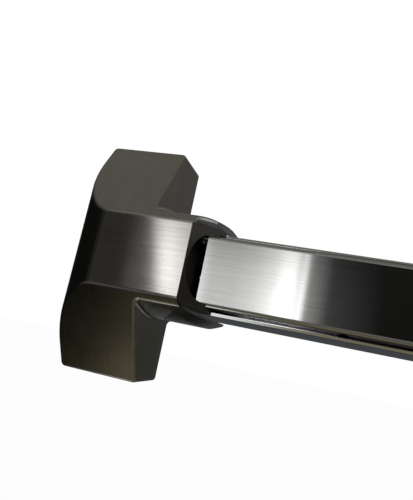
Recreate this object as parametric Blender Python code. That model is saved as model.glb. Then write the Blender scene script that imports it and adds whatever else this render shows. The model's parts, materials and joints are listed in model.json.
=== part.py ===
"""Panic exit bar with a rim latch: lock head, push pad on two bell cranks, rail, dogging and end cap.

The bar lies along +X, people push its front (-Y) and +Z is up. The origin is on the door face (y = 0),
in the middle of the lock head. Every size is in metres.
"""

import math

import bmesh
import bpy
from mathutils import Vector

MM = 0.001

# Clearances.
SEAT = 0.3 * MM  # between pieces that touch
RUN = 0.4 * MM  # beside a sliding or turning piece

# Lock head cover: a tall head with a quarter-round left side and a neck round the bar's end.
HEAD_WIDTH = 69.4 * MM
HEAD_HEIGHT = 200 * MM
HEAD_DEPTH = 92 * MM
COVER_WALL = 1.8 * MM
BAND_HALF = 29.5 * MM  # flat middle of the front, half its height
SLOPE_DEPTH = 45.2 * MM  # how far back the slopes reach full height
BEND_RADIUS = 33.4 * MM
BAND_END = 68.6 * MM  # right edge of the flat band
STRIP_HALF = 34.7 * MM  # half height of the neck where the slope stops
NECK_HALF = 45 * MM  # half height of the neck at the door
NECK_FLARE_DEPTH = 60 * MM
NECK_END = 87.3 * MM
NECK_CURL = 4.8 * MM  # how far the neck's end turns in towards the rail
NECK_CURL_LENGTH = 13 * MM
NECK_CUT_DEPTH = 75 * MM
CORNER_RADIUS = 4 * MM
EDGE_RADIUS = 2.0 * MM
WING_RADIUS = 3.2 * MM  # corners at the head's top and bottom

# Rail.
RAIL_START = 38 * MM
RAIL_END = 790 * MM
RAIL_BASE_HALF = 37.6 * MM
RAIL_TOP_HALF = 34.5 * MM
RAIL_LIP_HALF = 32.2 * MM
RAIL_DEPTH = 40 * MM
RAIL_LIP_DROP = 3 * MM
RAIL_WALL = 2.6 * MM
RAIL_FLOOR = 3 * MM

# Push pad.
PAD_START = 72.7 * MM
PAD_LENGTH = 460 * MM
PAD_FRONT = 54.3 * MM  # from the door to the pad's face
PAD_TRAVEL = 13 * MM
PAD_FACE_HALF = 26 * MM
PAD_HALF = 29.4 * MM
PAD_ROLL_DEPTH = 4.3 * MM
PAD_SIDE = 26 * MM  # how far the sides run back from the face
PAD_SHEET = 1.5 * MM

# Bell cranks and the rod they pull.
CRANK_PLACES = (PAD_START + 57.3 * MM, PAD_START + PAD_LENGTH - 62.7 * MM)
CRANK_PIVOT = 14 * MM  # from the door
PAD_ARM = 22 * MM
ROD_ARM = 19 * MM
PAD_ARM_REST = 25.0  # degrees that the pad arm leans forward at rest
CRANK_TURN = 35.0
CRANK_PLATE = 8 * MM
CRANK_HUB = 4.6 * MM
CRANK_HUB_LENGTH = 25 * MM
PIN = 2.5 * MM
PIVOT_PIN = 2.8 * MM
EAR = 2.5 * MM
ROD_SIDE = 8 * MM  # from the middle plane to the rod's near face
ROD_THICK = 3 * MM
ROD_WIDTH = 11 * MM
ROD_RISE = 33 * MM  # from the door to the rod's middle line

# Lever, latch bolt and deadlatch in the head.
LEVER_X = 6 * MM
LEVER_PIVOT = 60 * MM
LEVER_ROD_ARM = 27 * MM
LEVER_LATCH_ARM = 39 * MM
LEVER_PLATE = 6 * MM
LATCH_NOSE = 16 * MM  # how far the bolt stands out of the head
LATCH_BACK = 8.5 * MM
LATCH_DEPTH = 18 * MM
CHASSIS_HALF = 14.4 * MM  # half the gap between the chassis brackets
CHASSIS_PLATE = 3 * MM
LATCH_SPLIT = -6.5 * MM  # height of the gap between deadlatch and latch bolt
DEADLATCH_NOSE = 11 * MM
DEADLATCH_TRAVEL = 8 * MM
BASE_PLATE = 3 * MM

# Filler, dogging and end cap.
FILLER_FRONT = 46 * MM
FILLER_GAP = 3 * MM
DOG_AFTER_PAD = 36 * MM
DOG_SHAFT = 3 * MM
DOG_FINGER = 7.5 * MM
DOG_FINGER_HALF = 1.8 * MM
CATCH_WIDTH = 3 * MM
END_CAP_START = 770 * MM
END_CAP_END = 805.3 * MM
END_CAP_FRONT = 49 * MM
END_CAP_HALF = 40.5 * MM
END_CAP_WALL = 2 * MM

# Fasteners, rubber and other small pieces.
FOOT_SCREW = 2 * MM
DOOR_HOLE = 3.2 * MM
COVER_SCREW = 1.8 * MM
COVER_SCREW_BACK = 13 * MM  # from the door to the cover screws
CRANK_SCREWS = ((-15 * MM, -8.5 * MM), (15 * MM, 8.5 * MM))  # from the pivot, along X and Z
CRANK_FOOT_HALF = 20 * MM
DOG_FOOT = 20 * MM
DOG_HEAD = 5.5 * MM
RAIL_DOOR_SCREWS = (60 * MM, 300 * MM, 700 * MM)
DEADLATCH_STOP = 0.5 * MM
SPRING_RADIUS = 1.6 * MM
SPRING_WIRE = 0.55 * MM
SCOOP_TOP = 2.8 * MM
SCOOP_RADIUS = 27 * MM
BUMPER = 4 * MM
BUMPER_STEP = 60 * MM  # from a crank's pivot to the bumper beside it
POST_RISE = 39 * MM
POST_BORE = 2.6 * MM

# Worked out from the sizes above.
HEAD_LEFT = -HEAD_WIDTH / 2
HEAD_RIGHT = HEAD_WIDTH / 2
SLOPE_RISE = (HEAD_HEIGHT / 2 - BAND_HALF) / SLOPE_DEPTH
PAD_END = PAD_START + PAD_LENGTH
ROD_TRAVEL = 2 * ROD_ARM * math.sin(math.radians(CRANK_TURN / 2))
LEVER_TURN = 2 * math.degrees(math.asin(ROD_TRAVEL / (2 * LEVER_ROD_ARM)))
LATCH_TRAVEL = 2 * LEVER_LATCH_ARM * math.sin(math.radians(LEVER_TURN / 2))
DOG_X = PAD_END + DOG_AFTER_PAD

FINISHES = {
    "satin_steel": ((0.33, 0.33, 0.31), 0.34, 1.0),
    "pad_steel": ((0.62, 0.62, 0.60), 0.26, 1.0),
    "bright_aluminium": ((0.72, 0.73, 0.75), 0.2, 1.0),
    "dark_plastic": ((0.05, 0.047, 0.043), 0.5, 0.0),
    "zinc_steel": ((0.55, 0.55, 0.52), 0.42, 1.0),
    "latch_steel": ((0.68, 0.68, 0.66), 0.3, 1.0),
    "spring_steel": ((0.30, 0.30, 0.31), 0.35, 1.0),
    "black_screw": ((0.03, 0.03, 0.03), 0.45, 1.0),
    "rubber": ((0.02, 0.02, 0.02), 0.85, 0.0),
}


# --- Building tools -------------------------------------------------------------------------------


def clear_scene():
    for old in list(bpy.data.objects):
        bpy.data.objects.remove(old, do_unlink=True)


def finish(name):
    """The material of that name, made on first use."""
    material = bpy.data.materials.get(name)
    if material is None:
        colour, roughness, metallic = FINISHES[name]
        material = bpy.data.materials.new(name)
        material.use_nodes = True
        shader = material.node_tree.nodes["Principled BSDF"]
        shader.inputs["Base Color"].default_value = (*colour, 1.0)
        shader.inputs["Roughness"].default_value = roughness
        shader.inputs["Metallic"].default_value = metallic
    return material


def add_object(name, data, material, place=(0, 0, 0), parent=None):
    """A new object at a world place, or at a place in its parent's frame."""
    piece = bpy.data.objects.new(name, data)
    bpy.context.scene.collection.objects.link(piece)
    data.materials.append(finish(material))
    piece.location = place
    piece.parent = parent
    return piece


def add_mesh(name, shape, material, place=(0, 0, 0), parent=None, sharp=30.0):
    """An object from a bmesh, with its faces turned outwards and its round sides shaded smooth."""
    bmesh.ops.recalc_face_normals(shape, faces=shape.faces)
    data = bpy.data.meshes.new(name)
    shape.to_mesh(data)
    shape.free()
    data.shade_smooth()
    data.set_sharp_from_angle(angle=math.radians(sharp))
    return add_object(name, data, material, place, parent)


def in_space(axis, u, v, along):
    """A point from the two coordinates of a plane and the one across it."""
    return {"X": (along, u, v), "Y": (u, along, v), "Z": (u, v, along)}[axis]


def prism(name, loops, axis, low, high, material, place=(0, 0, 0), parent=None):
    """An outline, and any holes after it, drawn out along an axis from low to high."""
    shape = bmesh.new()
    ends = []
    for along in (low, high):
        rings = [[shape.verts.new(in_space(axis, u, v, along)) for u, v in loop] for loop in loops]
        rims = [shape.edges.new((a, b)) for ring in rings for a, b in zip(ring, ring[1:] + ring[:1])]
        bmesh.ops.triangle_fill(shape, use_beauty=True, edges=rims)
        ends.append(rings)
    for lower, upper in zip(*ends):
        for k in range(len(lower)):
            shape.faces.new((lower[k - 1], lower[k], upper[k], upper[k - 1]))
    return add_mesh(name, shape, material, place, parent)


def turned(name, profile, material, sides=14, place=(0, 0, 0), facing=(0, 0, 1), parent=None, hexed=()):
    """A profile of (radius, height) turned about a local axis that points along facing.

    The rows listed in hexed get six flats in place of a round.
    """
    shape = bmesh.new()
    rings = []
    for row, (radius, height) in enumerate(profile):
        if radius == 0:
            rings.append([shape.verts.new((0, 0, height))] * sides)
            continue
        ring = []
        for k in range(sides):
            flat = math.cos(math.pi / 6) if row in hexed and k % 2 else 1.0
            angle = math.tau * k / sides
            reach = radius * flat
            ring.append(shape.verts.new((reach * math.cos(angle), reach * math.sin(angle), height)))
        rings.append(ring)
    for upper, lower in zip(rings, rings[1:]):
        for k in range(sides):
            corners = [upper[k], upper[(k + 1) % sides], lower[(k + 1) % sides], lower[k]]
            shape.faces.new(list(dict.fromkeys(corners)))
    piece = add_mesh(name, shape, material, place, parent)
    piece.rotation_euler = Vector((0, 0, 1)).rotation_difference(Vector(facing)).to_euler()
    return piece


def pin(name, radius, length, place, parent=None, material="zinc_steel"):
    """A plain pin along Z with its middle at place and chamfered ends."""
    half = length / 2
    chamfer = 0.5 * MM
    profile = [(0, half), (radius - chamfer, half), (radius, half - chamfer)]
    profile += [(r, -h) for r, h in reversed(profile)]
    return turned(name, profile, material, 14, place, parent=parent)


def screw(name, place, facing, length, material="zinc_steel", shank=2 * MM, head=4 * MM, rise=2.6 * MM,
          parent=None):
    """A button-head screw: place is under its head, facing points out of its head."""
    socket = head * 0.52
    profile = [(0, rise * 0.35), (socket, rise * 0.35), (socket, rise), (head * 0.72, rise)]
    profile.append((head, rise * 0.45))
    profile += [(head, 0), (shank, 0), (shank, -length + shank * 0.4), (shank * 0.6, -length), (0, -length)]
    return turned(name, profile, material, 12, place, facing, parent, hexed=(1, 2))


def combine(piece, other, operation, solver="EXACT"):
    """Keeps other as a hidden helper that a Boolean on piece reads. Its place is in the piece's own frame."""
    other.parent = piece
    other.hide_render = True
    other.display_type = "WIRE"
    step = piece.modifiers.new(other.name, "BOOLEAN")
    step.operation = operation
    step.solver = solver
    step.object = other


def circle(u, v, radius, sides=12):
    return [
        (u + radius * math.cos(math.tau * k / sides), v + radius * math.sin(math.tau * k / sides))
        for k in range(sides)
    ]


def box_outline(u0, v0, u1, v1):
    return [(u0, v0), (u1, v0), (u1, v1), (u0, v1)]


def arc(u, v, radius, start, end, steps):
    """Points on an arc, with both its ends. Angles are in degrees."""
    angles = [math.radians(start + (end - start) * k / steps) for k in range(steps + 1)]
    return [(u + radius * math.cos(a), v + radius * math.sin(a)) for a in angles]


def stadium(u0, v0, u1, v1, radius, steps=6):
    """The outline of a slot, or of a bar with round ends, between two points."""
    lean = math.degrees(math.atan2(v1 - v0, u1 - u0))
    far_end = arc(u1, v1, radius, lean - 90, lean + 90, steps)
    return far_end + arc(u0, v0, radius, lean + 90, lean + 270, steps)


def joint_frame(name, place):
    """An empty on a joint's axis: the pieces of the moving body hang from it."""
    frame = bpy.data.objects.new(name, None)
    bpy.context.scene.collection.objects.link(frame)
    frame.location = place
    return frame


# --- Lock head ------------------------------------------------------------------------------------


def ease_out(value, power):
    return 1 - (1 - min(max(value, 0.0), 1.0)) ** power


def neck_cut(depth):
    """Where the neck's slanting end lies, at a depth behind the band."""
    return BAND_END + (NECK_END - BAND_END) * ease_out(depth / NECK_CUT_DEPTH, 2.5)


def neck_flare(depth):
    strip_depth = (STRIP_HALF - BAND_HALF) / SLOPE_RISE
    return ease_out((depth - strip_depth) / (NECK_FLARE_DEPTH - strip_depth), 2)


def neck_wall(x, depth, corner, inset):
    """Half height of the neck at x: a fillet beside the head, a flare with depth and a turned-in end."""
    half = STRIP_HALF - inset + (NECK_HALF - STRIP_HALF) * neck_flare(depth)
    beside = x - (HEAD_RIGHT - inset)
    if beside < corner:
        half += corner - math.sqrt(max(corner**2 - (corner - beside) ** 2, 0.0))
    curl = (x - neck_cut(depth) + NECK_CURL_LENGTH) / NECK_CURL_LENGTH
    return half - NECK_CURL * neck_flare(depth) * max(curl, 0.0) ** 1.3


def head_form(name, inset, overrun, bevel):
    """The cover's outer form, or its hollow when inset by the wall and run on past its open sides."""
    shape = bmesh.new()
    found = {}
    corner = CORNER_RADIUS + inset
    left = HEAD_LEFT + inset
    right = HEAD_RIGHT - inset
    top = HEAD_HEIGHT / 2 - inset
    radius = BEND_RADIUS - inset
    back = HEAD_DEPTH + overrun
    lean = inset * math.hypot(1, SLOPE_RISE)

    def slope_half(depth):
        return BAND_HALF + SLOPE_RISE * depth - lean

    def slope_depth(half):
        return (half + lean - BAND_HALF) / SLOPE_RISE

    def vert(x, depth, z):
        key = (round(x, 7), round(depth, 7), round(z, 7))
        if key not in found:
            found[key] = shape.verts.new((x, depth - HEAD_DEPTH, z))
        return found[key]

    def column(across):
        """Depth and x of the neck wall's points along one column, from the slope to the back."""
        kind, amount = across
        start = slope_depth(STRIP_HALF - inset)
        for _ in range(12):
            x = right + amount if kind == "corner" else neck_cut(start) + amount
            start = slope_depth(neck_wall(x, start, corner, inset))
        rows = (0, 0.03, 0.07, 0.12, 0.18, 0.26, 0.36, 0.47, 0.6, 0.75, 1)
        points = []
        for row in rows:
            depth = start + (back - start) * row
            x = right + amount if kind == "corner" else neck_cut(depth) + amount
            points.append((x, depth, neck_wall(x, depth, corner, inset)))
        return points

    across = [("corner", corner * (1 - math.cos(math.radians(a)))) for a in (0, 22.5, 45, 67.5, 90)]
    across += [("cut", -NECK_CURL_LENGTH * (1 - part)) for part in (0, 0.25, 0.5, 0.75, 1)]
    if overrun:
        across.append(("cut", overrun))
    columns = [column(each) for each in across]
    edge_end = columns[-1][0]
    bend = [(x, d) for x, d in arc(left + radius, inset + radius, radius, 180, 270, 20)]
    band_end = BAND_END + overrun
    slope_back = slope_depth(top)

    for side in (1, -1):
        front_row = [vert(*c[0][:2], side * c[0][2]) for c in reversed(columns)]
        curve = [vert(x, d, side * slope_half(d)) for x, d in bend]
        slope = [vert(left, slope_back, side * top), *curve, vert(band_end, inset, side * slope_half(inset))]
        shape.faces.new([*slope, *front_row, vert(right, slope_back, side * top)])
        shape.faces.new([vert(x, d, side * top) for x, d in
                         ((left, slope_back), (right, slope_back), (right, back), (left, back))])
        first = [vert(x, d, side * z) for x, d, z in columns[0]]
        shape.faces.new([vert(right, slope_back, side * top), *first, vert(right, back, side * top)])
        for here, there in zip(columns, columns[1:]):
            for k in range(len(here) - 1):
                ring = (here[k], here[k + 1], there[k + 1], there[k])
                shape.faces.new([vert(x, d, side * z) for x, d, z in ring])
    for (x0, d0), (x1, d1) in zip(bend, bend[1:]):
        shape.faces.new([vert(x0, d0, slope_half(d0)), vert(x1, d1, slope_half(d1)),
                         vert(x1, d1, -slope_half(d1)), vert(x0, d0, -slope_half(d0))])
    tip = slope_half(inset)
    shape.faces.new([vert(*bend[-1], tip), vert(band_end, inset, tip),
                     vert(band_end, inset, -tip), vert(*bend[-1], -tip)])
    wall = [(bend[0][1], slope_half(bend[0][1])), (slope_back, top), (back, top)]
    wall += [(d, -z) for d, z in reversed(wall)]
    shape.faces.new([vert(left, d, z) for d, z in wall])
    edge = [(band_end, inset, tip), edge_end, *columns[-1][1:]]
    for a, b in zip(edge, edge[1:]):
        shape.faces.new([vert(*a), vert(*b), vert(*b[:2], -b[2]), vert(*a[:2], -a[2])])
    upper = [(left, top), (right, top), *[(c[-1][0], c[-1][2]) for c in columns]]
    upper += [(x, -z) for x, z in reversed(upper)]
    shape.faces.new([vert(x, back, z) for x, z in upper])
    bmesh.ops.recalc_face_normals(shape, faces=shape.faces)
    if bevel:
        wing_corners = [e for e in shape.edges if all(abs(v.co.z) > top - 1e-6 for v in e.verts)
                        and abs(e.verts[0].co.x - e.verts[1].co.x) < 1e-6]
        bmesh.ops.bevel(shape, geom=wing_corners, offset=WING_RADIUS, segments=6, profile=0.5,
                        affect="EDGES", clamp_overlap=True)
        ends = [f for f in shape.faces if f.normal.x > 0.2 and f.calc_center_median().x > BAND_END]
        door = back - HEAD_DEPTH - 1e-6
        rounded = [
            e for e in shape.edges
            if e.is_convex and e.calc_face_angle() > math.radians(20)
            and not (e.verts[0].co.y > door and e.verts[1].co.y > door)
            and not any(f in ends for f in e.link_faces)
        ]
        bmesh.ops.bevel(shape, geom=rounded, offset=bevel, segments=3, profile=0.5, affect="EDGES",
                        clamp_overlap=True)
    return add_mesh(name, shape, "satin_steel")


def make_head_cover():
    cover = head_form("head_cover", 0.0, 0.0, EDGE_RADIUS)
    combine(cover, head_form("cover_hollow", COVER_WALL, 6 * MM, 0.0), "DIFFERENCE")
    trim = box_outline(BAND_END, from_band(-MM), BAND_END + 5 * MM, from_band(2.6 * MM))
    trim_half = BAND_HALF - 0.3 * MM
    combine(cover, prism("band_end_trim", [trim], "Z", -trim_half, trim_half, "satin_steel"), "DIFFERENCE")
    half = CHASSIS_HALF + 0.8 * MM
    window = box_outline(-LATCH_BACK - LATCH_DEPTH - 0.8 * MM, -half, -LATCH_BACK + 0.8 * MM, half)
    side = (HEAD_LEFT - 5 * MM, HEAD_LEFT + 5 * MM)
    combine(cover, prism("latch_window", [window], "X", *side, "satin_steel"), "DIFFERENCE")
    for end in (1, -1):
        reach = sorted((end * (HEAD_HEIGHT / 2 - 6 * MM), end * (HEAD_HEIGHT / 2 + 3 * MM)))
        hole = prism(f"cover_screw_hole_{end}", [circle(0, -COVER_SCREW_BACK, COVER_SCREW + SEAT)], "Z",
                     *reach, "satin_steel")
        combine(cover, hole, "DIFFERENCE")
        place = (0, -COVER_SCREW_BACK, end * (HEAD_HEIGHT / 2 + SEAT))
        label = "cover_screw_top" if end > 0 else "cover_screw_bottom"
        screw(label, place, (0, 0, end), 8 * MM, "latch_steel", COVER_SCREW, 3.6 * MM, 1.8 * MM)


def make_base_plate():
    """The plate against the door, with a lug at each end for a cover screw."""
    half_width = HEAD_WIDTH / 2 - 3.2 * MM
    half_height = HEAD_HEIGHT / 2 - 4 * MM
    door_holes = [circle(x, z, DOOR_HOLE) for x in (-20 * MM, 20 * MM) for z in (-75 * MM, 75 * MM)]
    foot_holes = [circle(x, z, FOOT_SCREW + SEAT) for x, z in foot_screw_places()]
    outline = box_outline(-half_width, -half_height, half_width, half_height)
    plate = prism("head_base_plate", [outline, *door_holes, *foot_holes], "Y", -BASE_PLATE, 0, "zinc_steel")
    for end in (1, -1):
        low, high = sorted((end * (half_height - 2.5 * MM), end * half_height))
        outline = box_outline(-9 * MM, -COVER_SCREW_BACK - 6 * MM, 9 * MM, -BASE_PLATE / 2)
        hole = circle(0, -COVER_SCREW_BACK, COVER_SCREW + SEAT)
        combine(plate, prism(f"screw_lug_{end}", [outline, hole], "Z", low, high, "zinc_steel"), "UNION")


def foot_screw_places():
    """Screws through the feet of the chassis brackets, as (x, z)."""
    middle = CHASSIS_HALF + CHASSIS_PLATE + 9 * MM
    return [(x, side * middle) for side in (1, -1) for x in (-22 * MM, 20 * MM)]


def make_chassis():
    """Two brackets that guide the latch bolt between them and carry the lever's pivot pin."""
    left = HEAD_LEFT + 3.2 * MM
    seat = -BASE_PLATE - SEAT
    web = [(left, seat), (left, -32 * MM), (-6 * MM, -LEVER_PIVOT - 7 * MM), (18 * MM, -LEVER_PIVOT - 7 * MM),
           (30 * MM, -24 * MM), (30 * MM, seat)]
    for side, name in ((1, "upper_chassis_bracket"), (-1, "lower_chassis_bracket")):
        near = side * CHASSIS_HALF
        far = side * (CHASSIS_HALF + CHASSIS_PLATE)
        hole = circle(LEVER_X, -LEVER_PIVOT, PIVOT_PIN + SEAT)
        bracket = prism(name, [web, hole], "Z", *sorted((near, far)), "zinc_steel")
        low, high = sorted((near + side * CHASSIS_PLATE / 2, far + side * 18 * MM))
        holes = [circle(x, z, FOOT_SCREW + SEAT) for x, z in foot_screw_places() if z * side > 0]
        foot = prism(name + "_foot", [box_outline(left, low, 30 * MM, high), *holes], "Y",
                     seat - CHASSIS_PLATE, seat, "zinc_steel")
        combine(bracket, foot, "UNION")
        if side < 0:
            lug = box_outline(DEADLATCH_STOP, -26 * MM, DEADLATCH_STOP + 3 * MM, -10 * MM)
            combine(bracket, prism("deadlatch_spring_lug", [lug], "Z", near - CHASSIS_PLATE / 2,
                                   LATCH_SPLIT - RUN, "zinc_steel"), "UNION")
    for number, (x, z) in enumerate(foot_screw_places(), 1):
        place = (x, seat - CHASSIS_PLATE - SEAT, z)
        screw(f"chassis_screw_{number}", place, (0, -1, 0), CHASSIS_PLATE + BASE_PLATE, shank=FOOT_SCREW)
    span = 2 * (CHASSIS_HALF + CHASSIS_PLATE) + 4 * MM
    pin("lever_pivot_pin", PIVOT_PIN, span, (LEVER_X, -LEVER_PIVOT, 0))


def make_latch():
    """The bolt slides in the window in the head's left side. Its forked tail takes the lever's pin."""
    frame = joint_frame("latch_frame", (HEAD_LEFT, -LATCH_BACK - LATCH_DEPTH / 2, 0))
    half = LATCH_DEPTH / 2
    nose = -LATCH_NOSE
    tail = 22 * MM
    outline = [(nose, half), (nose, half - 5 * MM), (nose + 11 * MM, -half), (tail, -half), (tail, half)]
    low = LATCH_SPLIT + RUN
    high = CHASSIS_HALF - RUN
    bolt = prism("latch_bolt", [outline], "Z", low, high, "latch_steel", parent=frame)
    pin_x = LEVER_X - LEVER_LATCH_ARM * math.sin(math.radians(LEVER_TURN / 2)) - HEAD_LEFT
    pin_deep = -LEVER_PIVOT + LEVER_LATCH_ARM + LATCH_BACK + half
    fork = box_outline(tail - 2 * MM, -half, pin_x + PIN + 5 * MM, half)
    slot = box_outline(pin_x - PIN - RUN, -half - 2 * MM, pin_x + PIN + RUN, pin_deep + PIN + RUN)
    gap = LEVER_PLATE / 2 + RUN
    for level, (bottom, top) in enumerate(((low, -gap), (gap, gap + 3.2 * MM))):
        tine = prism(f"latch_tine_{level}", [fork], "Z", bottom, top, "latch_steel")
        combine(bolt, tine, "UNION")
    slot_cutter = prism("latch_pin_slot", [slot], "Z", low - 1 * MM, gap + 5 * MM, "latch_steel")
    combine(bolt, slot_cutter, "DIFFERENCE")


def make_deadlatch():
    """A small bolt below the latch bolt that the strike holds in. It slides back over its own spring."""
    half = LATCH_DEPTH / 2
    frame = joint_frame("deadlatch_frame", (HEAD_LEFT, -LATCH_BACK - half, 0))
    nose = -DEADLATCH_NOSE
    tail = DEADLATCH_STOP - SEAT - DEADLATCH_TRAVEL - 3 * MM - HEAD_LEFT
    outline = [(nose, half), (nose, half - 3 * MM), (nose + 7 * MM, -half), (tail, -half), (tail, half)]
    low = -CHASSIS_HALF + RUN
    high = LATCH_SPLIT - RUN
    bolt = prism("deadlatch", [outline], "Z", low, high, "latch_steel", parent=frame)
    middle = (low + high) / 2
    bore_end = tail - 18 * MM
    bore = prism("deadlatch_bore", [circle(0, middle, SPRING_RADIUS + SPRING_WIRE + RUN)], "X",
                 bore_end, tail + 2 * MM, "latch_steel")
    combine(bolt, bore, "DIFFERENCE")
    start = HEAD_LEFT + bore_end + DEADLATCH_TRAVEL + 0.8 * MM
    coil("deadlatch_spring", "X", SPRING_RADIUS, SPRING_WIRE, 6, start + SPRING_WIRE,
         DEADLATCH_STOP - SEAT - SPRING_WIRE, (0, -LATCH_BACK - half, middle))


def coil(name, axis, radius, wire, turns, start, end, place, lead=(), tail=(), parent=None):
    """A helix of round wire along an axis, with straight legs at its ends."""
    per_turn = 10
    points = list(lead)
    for k in range(turns * per_turn + 1):
        angle = math.tau * k / per_turn
        along = start + (end - start) * k / (turns * per_turn)
        points.append(in_space(axis, radius * math.cos(angle), radius * math.sin(angle), along))
    points += tail
    curve = bpy.data.curves.new(name, "CURVE")
    curve.dimensions = "3D"
    curve.bevel_depth = wire
    curve.bevel_resolution = 1
    curve.use_fill_caps = True
    line = curve.splines.new("POLY")
    line.points.add(len(points) - 1)
    for target, point in zip(line.points, points):
        target.co = (*point, 1)
    return add_object(name, curve, "spring_steel", place, parent)


def make_lever():
    """It hangs on its pivot pin and works towards the door: rod pin half way, latch pin at its end."""
    frame = joint_frame("lever_frame", (LEVER_X, -LEVER_PIVOT, 0))
    lean = math.radians(LEVER_TURN / 2)

    def along(arm):
        return -arm * math.sin(lean), arm * math.cos(lean)

    rod_pin = along(LEVER_ROD_ARM)
    latch_pin = along(LEVER_LATCH_ARM)
    outline = stadium(0, 0, *latch_pin, 5 * MM)
    holes = [circle(*spot, PIN + SEAT) for spot in (rod_pin, latch_pin)]
    half = LEVER_PLATE / 2
    lever = prism("latch_lever", [outline, *holes], "Z", -half, half, "zinc_steel", parent=frame)
    reach = CHASSIS_HALF - RUN
    hub = prism("lever_hub", [circle(0, 0, 5.6 * MM, 20)], "Z", -reach, reach, "zinc_steel")
    combine(lever, hub, "UNION")
    combine(lever, prism("lever_bore", [circle(0, 0, PIVOT_PIN + SEAT)], "Z", -reach - MM, reach + MM,
                         "zinc_steel"), "DIFFERENCE")
    low = -half - 1 * MM
    for name, spot, top in (("lever_rod_pin", rod_pin, ROD_SIDE + ROD_THICK + 1.5 * MM),
                            ("lever_latch_pin", latch_pin, half + 3.4 * MM)):
        pin(name, PIN, top - low, (*spot, (top + low) / 2), frame)


# --- Rail, guide and pad --------------------------------------------------------------------------


def mirrored(half_outline):
    """A closed outline from its +z half, listed as (y, z) from the inside round to the outside."""
    return half_outline + [(y, -z) for y, z in reversed(half_outline)]


def rail_outer(depth):
    """Half height of the rail's outer wall at a distance from the door."""
    share = depth / (RAIL_DEPTH - RAIL_LIP_DROP)
    return RAIL_BASE_HALF + (RAIL_TOP_HALF - RAIL_BASE_HALF) * share


def make_rail():
    shoulder = RAIL_DEPTH - RAIL_LIP_DROP
    half = [
        (-RAIL_FLOOR, rail_outer(RAIL_FLOOR) - RAIL_WALL),
        (-shoulder, RAIL_TOP_HALF - RAIL_WALL),
        (-RAIL_DEPTH, RAIL_LIP_HALF - 0.3 * MM),
        (-RAIL_DEPTH, RAIL_LIP_HALF),
        (-shoulder - 0.4 * MM, RAIL_TOP_HALF - 0.3 * MM),
        (-shoulder + 0.5 * MM, rail_outer(shoulder)),
        (0, RAIL_BASE_HALF),
    ]
    outline = mirrored(half)
    rail = prism("rail", [outline], "X", RAIL_START, RAIL_END, "bright_aluminium")
    spots = [(x, z, FOOT_SCREW + SEAT) for x, z in bracket_screw_places()]
    spots += [(x, 0, DOOR_HOLE) for x in RAIL_DOOR_SCREWS]
    for number, (x, z, radius) in enumerate(spots, 1):
        hole = prism(f"rail_hole_{number}", [circle(x, z, radius, 12)], "Y", -RAIL_FLOOR - MM, MM, "rubber")
        combine(rail, hole, "DIFFERENCE", "MANIFOLD")


def bracket_screw_places():
    """Screws through the feet of the crank and dogging brackets, as (x, z)."""
    cranks = [(x + step, z) for x in CRANK_PLACES for step, z in CRANK_SCREWS]
    return cranks + [(DOG_X + step, 0) for step in (-DOG_FOOT, DOG_FOOT)]


def from_band(depth):
    """World y at a depth behind the band."""
    return depth - HEAD_DEPTH


def make_guide():
    """A moulded bezel that ramps from the band back to the pad, with an arched scoop round the pad's end."""
    seat = -RAIL_DEPTH - SEAT
    start = BAND_END + SEAT
    ramp_end = start + 15 * MM
    back = start - 9.6 * MM
    ramp_back = from_band(39.5 * MM)
    under = from_band(COVER_WALL + 0.4 * MM)
    side = [(start, from_band(0.6 * MM)), (ramp_end, ramp_back), (ramp_end, seat), (back, seat),
            (back, under),
            (start, under)]
    guide = prism("push_bar_guide", [side], "Z", -40 * MM, 40 * MM, "dark_plastic")
    room = BAND_HALF - (COVER_WALL + 0.4 * MM) * math.hypot(1, SLOPE_RISE)
    half = [(from_band(0), room), (from_band(3.2 * MM), room + SLOPE_RISE * 3.2 * MM),
            (from_band(6 * MM), 31.6 * MM), (ramp_back, 34.5 * MM), (seat + MM, 34.5 * MM)]
    combine(guide, prism("guide_profile", [mirrored(half)], "X", back - MM, ramp_end + MM, "dark_plastic"),
            "INTERSECT")
    bottom = seat + 2 * MM
    arch_middle = from_band(SCOOP_TOP + SCOOP_RADIUS)
    arch = arc(arch_middle, 0, SCOOP_RADIUS, 90, 270, 28) + [(bottom, -SCOOP_RADIUS), (bottom, SCOOP_RADIUS)]
    pocket_half = PAD_HALF + 0.9 * MM
    pocket = box_outline(from_band(35.5 * MM), -pocket_half, bottom, pocket_half)
    wall = back + 5 * MM
    for name, outline, from_x in (("guide_scoop", arch, wall), ("guide_pocket", pocket, wall + 0.5 * MM)):
        combine(guide, prism(name, [outline], "X", from_x, ramp_end + 2 * MM, "dark_plastic"), "DIFFERENCE")


def channel_outline(front, half_face, half, roll_depth, side, sheet):
    """A channel of bent sheet, open towards the door, with rolled long edges."""
    roll = half - half_face
    curve = [(math.cos(math.radians(a)), math.sin(math.radians(a))) for a in range(0, 91, 18)]
    outer = [(-front + roll_depth * (1 - c), half_face + roll * s) for c, s in curve]
    inner = [(-front + sheet + (roll_depth - sheet) * (1 - c), half_face + (roll - sheet) * s)
             for c, s in curve]
    back = -front + side
    return mirrored([*inner, (back, half - sheet), (back, half), *reversed(outer)])


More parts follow.
